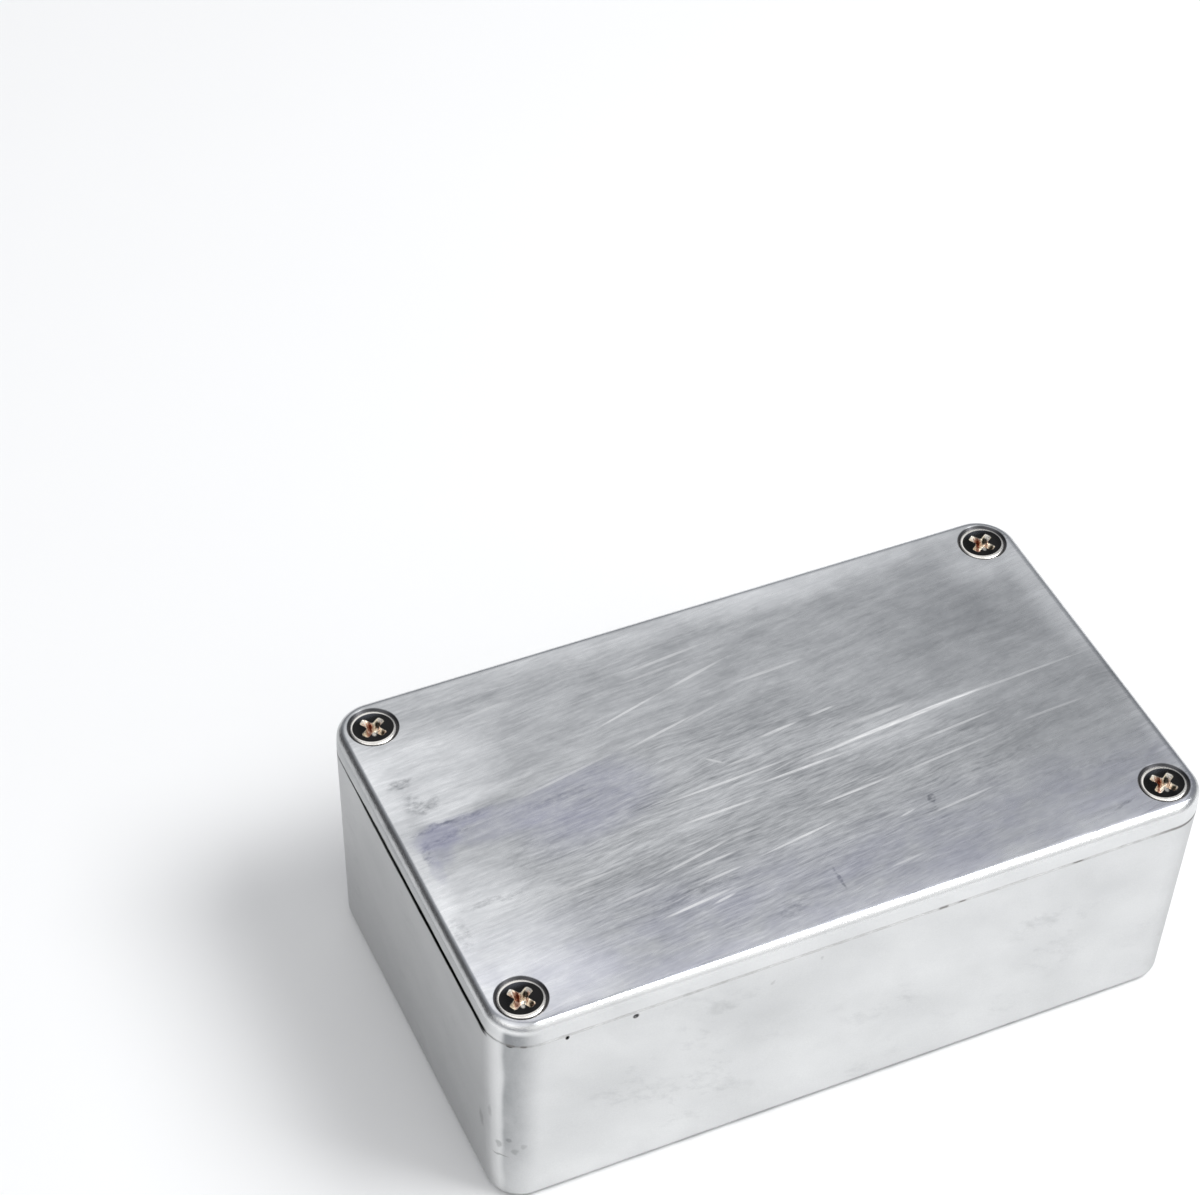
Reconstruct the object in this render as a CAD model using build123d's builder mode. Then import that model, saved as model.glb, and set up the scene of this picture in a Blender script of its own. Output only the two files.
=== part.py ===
from build123d import *

import os
from math import radians, tan

# Die cast aluminium box with a screwed lid, in millimetres.
# X runs along the length, Y across the width and Z up, from the middle of the underside.
# The front is the long side at -Y, and the left is the short side at -X.

# Outside of the closed box
box_length = 115.0
box_width = 67.0
box_height = 41.0
lid_edge_height = 4.0
corner_radius = 6.25
draft_angle = 1.6
lid_top_radius = 1.6
base_bottom_radius = 1.4
seam_chamfer = 0.12

# Casting thicknesses
wall = 2.2
floor_thickness = 2.3
lid_plate = 2.3
inside_radius = 1.2
floor_fillet = 0.8

# Lip under the lid that drops inside the base
lip_clearance = 0.35
lip_thickness = 1.4
lip_depth = 2.4
lip_chamfer = 0.3
plate_fillet = 0.6

# Corner screws, M3.5 with a countersunk crosshead
screw_inset_x = 5.7
screw_inset_y = 5.7
screw_radius = 1.75
screw_length = 12.0
screw_tip_chamfer = 0.4
head_radius = 3.5
head_flat_radius = 2.95
head_rim_height = 0.28
countersink_angle = 90.0
countersink_margin = 0.45
seat_clearance = 0.05

# Holes for the screws
lid_hole_clearance = 0.2
thread_clearance = 0.05
tapped_depth = 11.0
drill_point_angle = 118.0
hole_mouth_chamfer = 0.3

# Corner pillars
pillar_radius = 4.2

# Cross recess in each screw head, turned as the four heads stand
recess_span = 4.3
recess_wing = 1.15
recess_corner_cut = 0.45
recess_floor_cut = 0.2
recess_depth = 1.9
recess_end_taper = 26.5
recess_side_taper = 6.0
recess_turn = 33.0

# Slit along the left side, where both rims were cast short:
# place across the width, drop of the base's rim, rise of the lid's rim
slit_points = [
    (-28.6, 0.00, 0.00),
    (-27.0, 0.50, 0.25),
    (-16.0, 0.62, 0.36),
    (-5.2, 0.62, 0.34),
    (-4.3, 0.90, 0.32),
    (-3.3, 0.50, 0.30),
    (2.2, 0.50, 0.30),
    (2.8, 0.66, 0.28),
    (3.6, 0.46, 0.26),
    (15.0, 0.36, 0.18),
    (26.0, 0.00, 0.00),
]

# Casting pits in the front of the base: place along the length, drop below the seam, radius
casting_pits = [
    (-47.2, 0.55, 0.28),
    (-36.7, 0.95, 0.40),
]

# Round marks that the ejector pins left on the floor inside
ejector_radius = 3.0
ejector_depth = 0.15
ejector_pitch_x = 64.0
ejector_pitch_y = 34.0

# Worked out from the sizes above
seam_height = box_height - lid_edge_height
screw_spacing_x = box_length - 2 * screw_inset_x
screw_spacing_y = box_width - 2 * screw_inset_y
cavity_length = box_length - 2 * wall
cavity_width = box_width - 2 * wall
chamber_length = screw_spacing_x - 2 * pillar_radius
bay_width = screw_spacing_y - 2 * pillar_radius
tapped_radius = screw_radius + thread_clearance
mouth_radius = tapped_radius + hole_mouth_chamfer
drill_point = tapped_radius / tan(radians(drill_point_angle / 2))
lid_hole_radius = screw_radius + lid_hole_clearance
countersink_radius = head_radius + countersink_margin
cone_rise = 1 / tan(radians(countersink_angle / 2))
head_edge = box_height - (countersink_margin - seat_clearance) * cone_rise
head_top = head_edge + head_rim_height
shank_top = head_edge - (head_radius - screw_radius) * cone_rise
screw_tip = head_top - screw_length

seam_plane = Plane.XY.offset(seam_height)
slit_plane = Plane.YZ.offset(-box_length / 2)
slit_reach = wall + lip_clearance / 2


# Outline of the space inside: a long bay crossed by a wide chamber, so that the corners stay solid as pillars
def inside_outline(inset):
    with BuildSketch() as outline:
        Rectangle(cavity_length, bay_width)
        Rectangle(chamber_length, cavity_width)
        wall_corners = outline.vertices().sort_by(SortBy.DISTANCE)[4:]
        fillet(wall_corners, inside_radius)
        pillar_corners = outline.vertices().sort_by(SortBy.DISTANCE)[:4]
        fillet(pillar_corners, pillar_radius)
        if inset > 0:
            offset(amount=-inset, mode=Mode.REPLACE)
    return outline.sketch


# Outline of the cross recess: two crossed slots, with the four inner corners cut off
def recess_outline(span, wing, corner_cut):
    with BuildSketch() as outline:
        Rectangle(span, wing, rotation=recess_turn)
        Rectangle(wing, span, rotation=recess_turn)
        inner_corners = outline.vertices().sort_by(SortBy.DISTANCE)[:4]
        chamfer(inner_corners, corner_cut)
    return outline.sketch


# Base: the deep half, widest at the seam and drawn in towards the floor
with BuildPart() as base:
    with BuildSketch(seam_plane):
        RectangleRounded(box_length, box_width, corner_radius)
    extrude(amount=-seam_height, taper=draft_angle)
    underside = base.faces().sort_by(Axis.Z)[0]
    fillet(underside.edges(), base_bottom_radius)

    # Inside space, with the corner pillars left standing
    with BuildSketch(seam_plane):
        add(inside_outline(0))
    extrude(amount=-(seam_height - floor_thickness), taper=draft_angle, mode=Mode.SUBTRACT)
    inside_floor = base.faces().filter_by(Axis.Z).sort_by(Axis.Z)[1]
    fillet(inside_floor.edges(), floor_fillet)

    # Marks of the ejector pins
    with BuildSketch(Plane.XY.offset(floor_thickness)):
        with GridLocations(ejector_pitch_x, ejector_pitch_y, 2, 2):
            Circle(ejector_radius)
    extrude(amount=-ejector_depth, mode=Mode.SUBTRACT)

    # Outer edge of the rim, broken so that the seam shows as a fine line
    rim = base.faces().sort_by(Axis.Z)[-1]
    chamfer(rim.outer_wire().edges(), seam_chamfer)

    # Blind tapped holes down the pillars, each ending in a drill point
    with Locations((0, 0, seam_height)):
        with GridLocations(screw_spacing_x, screw_spacing_y, 2, 2):
            CounterSinkHole(tapped_radius, mouth_radius, tapped_depth)
    with Locations((0, 0, seam_height - tapped_depth)):
        with GridLocations(screw_spacing_x, screw_spacing_y, 2, 2):
            Cone(
                0,
                tapped_radius,
                drill_point,
                align=(Align.CENTER, Align.CENTER, Align.MAX),
                mode=Mode.SUBTRACT,
            )

    # Lower half of the slit along the left side
    with BuildSketch(slit_plane):
        with BuildLine():
            Polyline([(y, seam_height - drop) for y, drop, rise in slit_points], close=True)
        make_face()
    extrude(amount=slit_reach, mode=Mode.SUBTRACT)

    # Casting pits in the front
    for pit_x, pit_drop, pit_radius in casting_pits:
        pit_y = pit_drop * tan(radians(draft_angle)) - box_width / 2
        with Locations((pit_x, pit_y, seam_height - pit_drop)):
            Sphere(pit_radius, mode=Mode.SUBTRACT)

base.part.label = "base"
export_step(base.part, "parts/base.step")


# Lid: the shallow half, with a rounded top edge
with BuildPart() as lid:
    with BuildSketch(seam_plane):
        RectangleRounded(box_length, box_width, corner_radius)
    extrude(amount=lid_edge_height, taper=draft_angle)
    lid_face = lid.faces().sort_by(Axis.Z)[-1]
    fillet(lid_face.edges(), lid_top_radius)
    lid_rim = lid.faces().sort_by(Axis.Z)[0]
    chamfer(lid_rim.edges(), seam_chamfer)

    # Locating lip, which follows the inside of the base at a clearance
    with BuildSketch(seam_plane):
        add(inside_outline(lip_clearance))
    extrude(amount=-lip_depth)

    # Hollow inside the lip, up to the underside of the lid's plate
    with BuildSketch(Plane.XY.offset(seam_height - lip_depth)):
        add(inside_outline(lip_clearance + lip_thickness))
    extrude(amount=lip_depth + lid_edge_height - lid_plate, mode=Mode.SUBTRACT)
    plate_underside = lid.faces().filter_by(Axis.Z).sort_by(Axis.Z)[2]
    fillet(plate_underside.edges(), plate_fillet)
    lip_tip = lid.faces().sort_by(Axis.Z)[0]
    chamfer(lip_tip.edges(), lip_chamfer)

    # Countersunk holes for the corner screws
    with Locations((0, 0, box_height)):
        with GridLocations(screw_spacing_x, screw_spacing_y, 2, 2):
            CounterSinkHole(lid_hole_radius, countersink_radius, counter_sink_angle=countersink_angle)

    # Upper half of the slit along the left side
    with BuildSketch(slit_plane):
        with BuildLine():
            Polyline([(y, seam_height + rise) for y, drop, rise in slit_points], close=True)
        make_face()
    extrude(amount=slit_reach, mode=Mode.SUBTRACT)

lid.part.label = "lid"
export_step(lid.part, "parts/lid.step")


# Screw: a countersunk head with a rounded rim and a cross recess, on a plain shank of the thread's outer size
def make_screw(name, x, y):
    profile_plane = Plane(origin=(x, y, 0), x_dir=(1, 0, 0), z_dir=(0, -1, 0))
    with BuildPart() as screw:
        with BuildSketch(profile_plane):
            with BuildLine():
                face_line = Line((0, head_top), (head_flat_radius, head_top))
                rim_arc = TangentArc(face_line @ 1, (head_radius, head_edge), tangent=face_line % 1)
                Polyline(
                    rim_arc @ 1,
                    (screw_radius, shank_top),
                    (screw_radius, screw_tip + screw_tip_chamfer),
                    (screw_radius - screw_tip_chamfer, screw_tip),
                    (0, screw_tip),
                    (0, head_top),
                )
            make_face()
        revolve(axis=Axis((x, y, 0), (0, 0, 1)))

        end_draw = 2 * recess_depth * tan(radians(recess_end_taper))
        side_draw = 2 * recess_depth * tan(radians(recess_side_taper))
        with BuildSketch(Plane(origin=(x, y, head_top))):
            add(recess_outline(recess_span, recess_wing, recess_corner_cut))
        with BuildSketch(Plane(origin=(x, y, head_top - recess_depth))):
            add(recess_outline(recess_span - end_draw, recess_wing - side_draw, recess_floor_cut))
        loft(mode=Mode.SUBTRACT)

    screw.part.label = name
    export_step(screw.part, f"parts/{name}.step")


for row_name, row_side in (("front", -1), ("back", 1)):
    for end_name, end_side in (("left", -1), ("right", 1)):
        make_screw(
            f"screw_{row_name}_{end_name}",
            end_side * screw_spacing_x / 2,
            row_side * screw_spacing_y / 2,
        )
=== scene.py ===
from math import atan2, copysign, cos, degrees, pi, radians, sin, tan

import bmesh
import bpy
from mathutils import Matrix, Vector


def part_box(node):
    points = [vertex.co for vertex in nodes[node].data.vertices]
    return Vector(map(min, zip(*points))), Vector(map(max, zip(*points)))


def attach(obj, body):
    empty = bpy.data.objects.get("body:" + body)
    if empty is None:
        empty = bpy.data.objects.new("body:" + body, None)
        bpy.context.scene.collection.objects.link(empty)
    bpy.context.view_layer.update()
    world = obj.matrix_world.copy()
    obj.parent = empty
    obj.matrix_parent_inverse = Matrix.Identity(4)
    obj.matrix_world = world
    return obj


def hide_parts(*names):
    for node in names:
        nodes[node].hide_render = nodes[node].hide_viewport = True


# Die cast aluminium box: a drafted base, a brushed lid and four crosshead screws.
# Metres in the CAD frame: X along the length, Y towards the back, Z up.
# Patterns are laid out in millimetres.

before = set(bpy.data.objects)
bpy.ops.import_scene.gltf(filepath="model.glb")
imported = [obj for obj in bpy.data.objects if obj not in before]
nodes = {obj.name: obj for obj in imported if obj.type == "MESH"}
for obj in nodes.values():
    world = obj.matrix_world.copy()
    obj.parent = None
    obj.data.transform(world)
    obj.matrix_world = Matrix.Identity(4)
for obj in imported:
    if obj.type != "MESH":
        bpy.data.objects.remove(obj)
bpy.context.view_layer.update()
mm = 0.001


# Small helpers for shader trees

def newMaterial(name):
    material = bpy.data.materials.new(name)
    material.use_nodes = True
    material.node_tree.nodes.clear()
    return material, material.node_tree


def addNode(tree, kind, inputs=(), **settings):
    node = tree.nodes.new(kind)
    for name, value in settings.items():
        setattr(node, name, value)
    for name, value in dict(inputs).items():
        if isinstance(value, bpy.types.NodeSocket):
            tree.links.new(value, node.inputs[name])
        else:
            node.inputs[name].default_value = value
    return node


def calc(tree, operation, *values, clamp=False):
    node = addNode(tree, "ShaderNodeMath", enumerate(values), operation=operation, use_clamp=clamp)
    return node.outputs[0]


# Adds up values while they are made, so that a long sum holds only a few at once
def addEach(tree, values):
    total = next(values)
    for value in values:
        total = calc(tree, "ADD", total, value)
    return total


def addUp(tree, *values):
    return addEach(tree, iter(values))


def times(tree, *values):
    total = values[0]
    for value in values[1:]:
        total = calc(tree, "MULTIPLY", total, value)
    return total


def blend(tree, amount, first, second):
    inputs = {0: amount, 6: first, 7: second}
    return addNode(tree, "ShaderNodeMix", inputs, data_type="RGBA").outputs[2]


def remap(tree, value, fromMin, fromMax, toMin=0.0, toMax=1.0, smooth=False):
    inputs = {0: value, 1: fromMin, 2: fromMax, 3: toMin, 4: toMax}
    kind = "SMOOTHSTEP" if smooth else "LINEAR"
    return addNode(tree, "ShaderNodeMapRange", inputs, interpolation_type=kind, clamp=True).outputs[0]


# The space of a pattern of the given size, centred on a place and turned by degrees.
# One that isn't turned is only scaled and moved, which renders faster.
def centred(tree, vector, size, turn=0.0, place=(0, 0, 0)):
    if turn:
        angles = turn if isinstance(turn, tuple) else (0, 0, turn)
        rotation = [radians(angle) for angle in angles]
        inputs = {"Vector": vector, "Scale": size, "Rotation": rotation, "Location": place}
        return addNode(tree, "ShaderNodeMapping", inputs, vector_type="TEXTURE").outputs[0]
    shrink = [1 / part for part in size]
    shift = [-start / part for start, part in zip(place, size)]
    inputs = {0: vector, 1: shrink, 2: shift}
    return addNode(tree, "ShaderNodeVectorMath", inputs, operation="MULTIPLY_ADD").outputs[0]


# Noise whose grains have the given length, width and depth, swinging about zero
def grain(tree, vector, size, turn=0.0, detail=3.0, roughness=0.5, swing=1.0):
    space = centred(tree, vector, size, turn)
    inputs = {"Vector": space, "Scale": 1.0, "Detail": detail, "Roughness": roughness}
    value = addNode(tree, "ShaderNodeTexNoise", inputs).outputs[0]
    return remap(tree, value, 0.2, 0.8, -swing, swing)


# A soft oval: 1 at its middle, 0 at its edge
def spot(tree, vector, place, size, turn=0.0):
    space = centred(tree, vector, size, turn, place)
    return addNode(tree, "ShaderNodeTexGradient", {"Vector": space}, gradient_type="SPHERICAL").outputs[1]


def objectMillimetres(tree):
    place = addNode(tree, "ShaderNodeTexCoord").outputs["Object"]
    return addNode(tree, "ShaderNodeMapping", {"Vector": place, "Scale": (1 / mm,) * 3}).outputs[0]


def splitUp(tree, vector):
    return addNode(tree, "ShaderNodeSeparateXYZ", {0: vector}).outputs


def joinUp(tree, *parts):
    return addNode(tree, "ShaderNodeCombineXYZ", enumerate(parts)).outputs[0]


def lengthOf(tree, vector):
    return addNode(tree, "ShaderNodeVectorMath", {0: vector}, operation="LENGTH").outputs["Value"]


# Bends a pattern's space so that its edges wander
def waver(tree, vector, size, amount):
    inputs = {"Vector": vector, "Scale": 1 / size, "Detail": 2.0}
    drift = addNode(tree, "ShaderNodeTexNoise", inputs).outputs["Color"]
    inputs = {0: drift, 1: (0.5, 0.5, 0.5)}
    drift = addNode(tree, "ShaderNodeVectorMath", inputs, operation="SUBTRACT").outputs[0]
    inputs = {0: drift, 1: (amount,) * 3, 2: vector}
    return addNode(tree, "ShaderNodeVectorMath", inputs, operation="MULTIPLY_ADD").outputs[0]


def finishMetal(tree, material, color, roughness, height, bump, **inputs):
    values = {"Height": height, "Strength": bump["strength"], "Distance": bump["depth"]}
    normal = addNode(tree, "ShaderNodeBump", values).outputs[0]
    values = {"Base Color": color, "Metallic": 1.0, "Roughness": roughness, "Normal": normal, **inputs}
    shader = addNode(tree, "ShaderNodeBsdfPrincipled", values)
    addNode(tree, "ShaderNodeOutputMaterial", {"Surface": shader.outputs[0]})
    return material


# Camera, where the photograph was taken from

view = {
    "place": (-0.17197, -0.29388, 0.40720),
    "forward": (0.312003, 0.639886, -0.702283),
    "right": (0.910807, -0.411781, 0.029449),
    "lens": 100.837,
    "sensor": 36.0,
    "clipStart": 0.01,
}


def setCamera():
    data = bpy.data.cameras.new("photoCamera")
    data.sensor_fit = "HORIZONTAL"
    data.sensor_width = view["sensor"]
    data.lens = view["lens"]
    data.clip_start = view["clipStart"]
    camera = bpy.data.objects.new("photoCamera", data)
    forward = Vector(view["forward"]).normalized()
    right = Vector(view["right"]).normalized()
    up = right.cross(forward)
    turn = Matrix((right, up, -forward)).transposed().to_4x4()
    camera.matrix_world = Matrix.Translation(view["place"]) @ turn
    bpy.context.scene.collection.objects.link(camera)
    bpy.context.scene.camera = camera


setCamera()
print("camera set")


# Pale floor and soft studio light

studio = {
    "floorSize": 6.0,
    "floorColor": (0.90, 0.903, 0.906, 1),
    "floorShade": 0.985,
    "floorGrain": 0.1,
    "floorRoughness": 0.75,
    "floorGloss": 0.1,
    "skyColor": (0.35, 0.36, 0.38, 1),
    "patchEdge": 0.6,
}
# Soft patches of the sky: direction, size, color
skyPatches = [
    ((0.10, 0.62, 0.76), (0.44, 0.62, 0.60), (1.02, 1.02, 1.03, 1)),
    ((-0.30, -0.25, 0.93), (0.60, 0.62, 0.55), (1.08, 1.08, 1.08, 1)),
    ((0.25, -0.80, 0.45), (0.60, 0.60, 0.62), (1.15, 1.15, 1.15, 1)),
    ((-0.60, -0.28, 0.74), (0.44, 0.52, 0.50), (1.30, 1.30, 1.30, 1)),
    ((-0.72, 0.60, 0.28), (0.60, 0.80, 0.66), (0.10, 0.10, 0.105, 1)),
]
softboxes = [
    {"name": "keySoftbox", "place": (0.48, -0.30, 0.85), "size": (0.50, 0.50), "power": 7.5},
]


def makeFloor():
    mesh = bpy.data.meshes.new("floor")
    shape = bmesh.new()
    bmesh.ops.create_grid(shape, x_segments=1, y_segments=1, size=studio["floorSize"] / 2)
    shape.to_mesh(mesh)
    shape.free()
    floor = bpy.data.objects.new("floor", mesh)
    bpy.context.scene.collection.objects.link(floor)
    material, tree = newMaterial("paleFloor")
    place = addNode(tree, "ShaderNodeTexCoord").outputs["Object"]
    tone = remap(tree, grain(tree, place, (studio["floorGrain"],) * 3), -1.0, 1.0)
    light = studio["floorColor"]
    shade = [c * studio["floorShade"] for c in light[:3]] + [1]
    shader = addNode(tree, "ShaderNodeBsdfPrincipled", {
        "Base Color": blend(tree, tone, light, shade),
        "Roughness": studio["floorRoughness"],
        "Specular IOR Level": studio["floorGloss"],
    })
    addNode(tree, "ShaderNodeOutputMaterial", {"Surface": shader.outputs[0]})
    mesh.materials.append(material)


# A grey sky with soft brighter and darker patches
def setSky():
    world = bpy.data.worlds.new("studioSky")
    world.use_nodes = True
    tree = world.node_tree
    tree.nodes.clear()
    direction = addNode(tree, "ShaderNodeTexCoord").outputs["Generated"]
    color = studio["skyColor"]
    for place, size, patchColor in skyPatches:
        amount = remap(tree, spot(tree, direction, place, size), 0.0, studio["patchEdge"], smooth=True)
        color = blend(tree, amount, color, patchColor)
    background = addNode(tree, "ShaderNodeBackground", {"Color": color})
    addNode(tree, "ShaderNodeOutputWorld", {"Surface": background.outputs[0]})
    bpy.context.scene.world = world


def addSoftbox(name, place, size, power):
    data = bpy.data.lights.new(name, "AREA")
    data.shape = "RECTANGLE"
    data.size, data.size_y = size
    data.energy = power
    light = bpy.data.objects.new(name, data)
    turn = (-Vector(place)).to_track_quat("-Z", "Y").to_matrix().to_4x4()
    light.matrix_world = Matrix.Translation(place) @ turn
    bpy.context.scene.collection.objects.link(light)


makeFloor()
setSky()
for softbox in softboxes:
    addSoftbox(**softbox)
bpy.context.scene.view_settings.view_transform = "Standard"
print("floor and lights set")


# Bare cast metal, shared by the base and the sides of the lid

seam = {
    "height": 37.0,
    "reach": 0.42,
    "core": 0.3,
    "grimeAndShade": (0.24, 0.235, 0.23, 1),
    "patchSize": (2, 2, 2),
    "strength": (0.16, 0.55),
}
# Darker stretches of the seam: middle, size
seamStretches = [
    ((12.1, -33.4, 37.0), (1.1, 2.0, 0.9)),
    ((15.2, -33.4, 37.0), (1.0, 2.0, 0.25)),
    ((34.5, -33.4, 37.0), (1.3, 2.0, 0.25)),
    ((-55.2, -32.0, 36.9), (0.9, 0.9, 0.9)),
    ((-53.6, -33.0, 37.0), (0.7, 0.9, 0.5)),
    ((56.0, -31.0, 37.0), (12.0, 9.0, 1.2)),
]
cast = {
    "light": (0.84, 0.845, 0.845, 1),
    "dark": (0.26, 0.27, 0.28, 1),
    "tone": 0.235,
    "clouds": 0.10,
    "cloudSize": (17, 17, 11),
    "smudges": 0.17,
    "smudgeSize": (5, 5, 2.4),
    "dustSize": (19, 19, 12),
    "slant": (0, 30, 0),
    "grain": 0.05,
    "grainSize": (0.25, 0.25, 0.25),
    "ripple": 0.8,
    "rippleSize": (1.6, 1.6, 1.6),
    "roughTones": (0.05, 0.35),
    "roughness": (0.34, 0.44),
    "bump": {"strength": 0.25, "depth": 0.00005},
    "edgeTint": (0.62, 0.62, 0.62, 1),
}
# Broad soft patches, darker above 0 and lighter below: middle, size, amount.
# The upper front ones are blotches in the metal. Those darkening the left side, the lid's left band,
# the right corner and the bottom edge are painted shade; the lighter ones at the near corner are painted
# light.
castBlotchesAndPaintedShading = [
    ((-40.0, -33, 24.0), (11, 9, 9), 0.055),
    ((-18.0, -33, 27.0), (14, 9, 13), 0.05),
    ((36.0, -33, 25.0), (14, 9, 13), 0.06),
    ((-40.0, -33, 5.0), (20, 9, 12), -0.06),
    ((-57, -12.0, 5.0), (9, 18, 9), 0.03),
    ((-57, 12.0, 2.0), (9, 30, 9), 0.02),
    ((-57, -18.0, 32.0), (9, 9, 4), 0.05),
    ((-57, 10.0, 39.8), (2.2, 60, 1.3), 0.30),
    ((-57.6, 6.0, 38.3), (2.6, 75, 2.4), 0.30),
    ((-57.0, 28.0, 31.0), (9, 8, 13), 0.09),
    ((-57.4, 24.0, 38.3), (2.6, 12, 2.4), 0.14),
    ((-57.0, -26.5, 8.0), (4, 6, 15), -0.06),
    ((57.0, -29.8, 18.0), (2.2, 3.2, 50.0), 0.60),
    ((0.0, -33.0, -0.4), (110, 8.0, 1.6), 0.75),
    ((-55.5, -31.2, 40.0), (4.5, 3.5, 1.2), -0.30),
]
# Painted reflections down the near corner, by degrees round it: a dark band, dark at its left edge
# and fading to the right, with a painted lighter band left of it
cornerReflections = {
    "axis": (-51.25, -27.25),
    "begins": (-144, -136),
    "ends": (-134, -78),
    "amount": (0.46, 0.72),
    "grainSize": (2.5, 2.5, 5),
    "cornerX": (-46.0, -51.0),
    "foot": (2.0, 20.0, 0.40, 1.0),
    "onLid": (37.0, 37.2, 0.85, 1.25),
    "lidTop": (39.0, 39.9, 1.0, 0.0),
    "lightBegins": (-172, -156),
    "lightEnds": (-148, -142),
    "lightAmount": -0.13,
}


# A band of angles that fades in where it begins and out where it ends
def angleBand(tree, angle, begins, ends):
    return times(
        tree,
        remap(tree, angle, *[radians(a) for a in begins], smooth=True),
        remap(tree, angle, *[radians(a) for a in ends], 1.0, 0.0, smooth=True),
    )


# The painted dark reflection band, and the painted lighter band beside it
def cornerReflectionBands(tree, place, near):
    bent, straight = splitUp(tree, waver(tree, place, 6.0, 0.8)), splitUp(tree, place)
    axisX, axisY = cornerReflections["axis"]
    awayX = calc(tree, "SUBTRACT", bent["X"], axisX)
    awayY = calc(tree, "SUBTRACT", bent["Y"], axisY)
    angle = calc(tree, "ARCTAN2", awayY, awayX)
    atCorner = remap(tree, straight["X"], *cornerReflections["cornerX"])
    darkReflection = times(
        tree,
        angleBand(tree, angle, cornerReflections["begins"], cornerReflections["ends"]),
        atCorner,
        remap(tree, straight["Z"], *cornerReflections["foot"], smooth=True),
        remap(tree, straight["Z"], *cornerReflections["onLid"]),
        remap(tree, straight["Z"], *cornerReflections["lidTop"]),
        remap(tree, grain(tree, near, cornerReflections["grainSize"]), -1.0, 0.8, *cornerReflections["amount"]),
    )
    lightReflection = times(
        tree,
        angleBand(tree, angle, cornerReflections["lightBegins"], cornerReflections["lightEnds"]),
        atCorner,
        cornerReflections["lightAmount"],
    )
    return darkReflection, lightReflection


# How dark the bare metal is, from 0 to 1, with painted shade and light from the patches and corner bands,
# and how high its skin stands
def castSkin(tree, place):
    broad = waver(tree, place, 12.0, 6.0)
    near = waver(tree, place, 4.0, 1.5)
    clouds = grain(tree, broad, cast["cloudSize"], cast["slant"], detail=3.0, swing=cast["clouds"])
    sparse = grain(tree, near, cast["smudgeSize"], cast["slant"], detail=5.0, roughness=0.65)
    dusty = remap(tree, grain(tree, broad, cast["dustSize"]), 0.0, 0.5)
    smudges = times(tree, remap(tree, sparse, 0.1, 0.8), dusty, cast["smudges"])
    fine = grain(tree, place, cast["grainSize"], detail=3.0, roughness=0.7)
    tone = addUp(tree, cast["tone"], clouds, smudges, times(tree, fine, cast["grain"]))
    # Blotches, and painted shade and light, from the patches
    for middle, size, amount in castBlotchesAndPaintedShading:
        patch = remap(tree, spot(tree, near, middle, size), 0.0, 0.8, 0.0, amount, smooth=True)
        tone = calc(tree, "ADD", tone, patch)
    # Painted dark and light reflection bands down the near corner
    darkReflection, lightReflection = cornerReflectionBands(tree, place, near)
    height = addUp(tree, fine, times(tree, grain(tree, place, cast["rippleSize"]), cast["ripple"]))
    return calc(tree, "ADD", addUp(tree, tone, lightReflection), darkReflection, clamp=True), height


# Grime that lies in the seam, heavier here and there
def seamGrime(tree, place):
    away = calc(tree, "ABSOLUTE", calc(tree, "SUBTRACT", splitUp(tree, place)["Z"], seam["height"]))
    near = remap(tree, away, seam["reach"] * seam["core"], seam["reach"], 1.0, 0.0)
    patchy = grain(tree, place, seam["patchSize"], detail=4.0, roughness=0.65)
    patchy = remap(tree, patchy, -0.5, 0.6, *seam["strength"])
    heavy = [
        remap(tree, spot(tree, place, middle, size), 0.0, 0.8, smooth=True)
        for middle, size in seamStretches
    ]
    return times(tree, near, calc(tree, "MINIMUM", addUp(tree, patchy, *heavy), 1.0))


# The slit along the left side: its painted dark line of shade, and the short rims of the base and the lid
# inside it, painted dark as shade
slit = {
    "drop": 0.2,
    "thinning": (10.0, 29.0, 0.78, 0.12),
    "edge": 0.08,
    "outside": (-56.9, -57.1),
    "frontEnd": (-28.8, -27.8),
    "fading": (17.0, 29.0, 0.97, 0.35),
    "baseDepth": (-56.1, -57.0),
    "baseHeight": (35.7, 35.9),
    "middle": -1.3,
    "halfLength": (28.0, 26.0),
    "facingUp": (0.6, 0.8),
    "lidDepth": (-54.9, -55.0),
    "lidLow": (35.8, 35.9),
    "lidHigh": (36.98, 37.02),
    "lidShade": 0.55,
}


# Painted shade along the slit, wider than its real opening, which thins out towards the back
def slitShade(tree, place):
    bent = splitUp(tree, waver(tree, place, 2.5, 0.5))
    halfHeight = remap(tree, bent["Y"], *slit["thinning"], smooth=True)
    away = calc(tree, "ABSOLUTE", calc(tree, "SUBTRACT", bent["Z"], seam["height"] - slit["drop"]))
    return times(
        tree,
        remap(tree, calc(tree, "SUBTRACT", away, halfHeight), -slit["edge"], slit["edge"], 1.0, 0.0),
        remap(tree, splitUp(tree, place)["X"], *slit["outside"]),
        remap(tree, bent["Y"], *slit["frontEnd"]),
        remap(tree, bent["Y"], *slit["fading"]),
    )


# Base: pits and blemishes, painted shade in the slit, a darker and rougher inside

baseLook = {
    "grimeAndShade": (0.012, 0.012, 0.012, 1),
    "inside": 0.30,
    "insideRoughness": 0.4,
    "facingIn": (-1.0, -4.0),
    "facingUp": (0.4, 0.6),
    "belowRim": (35.0, 34.0),
}
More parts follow.
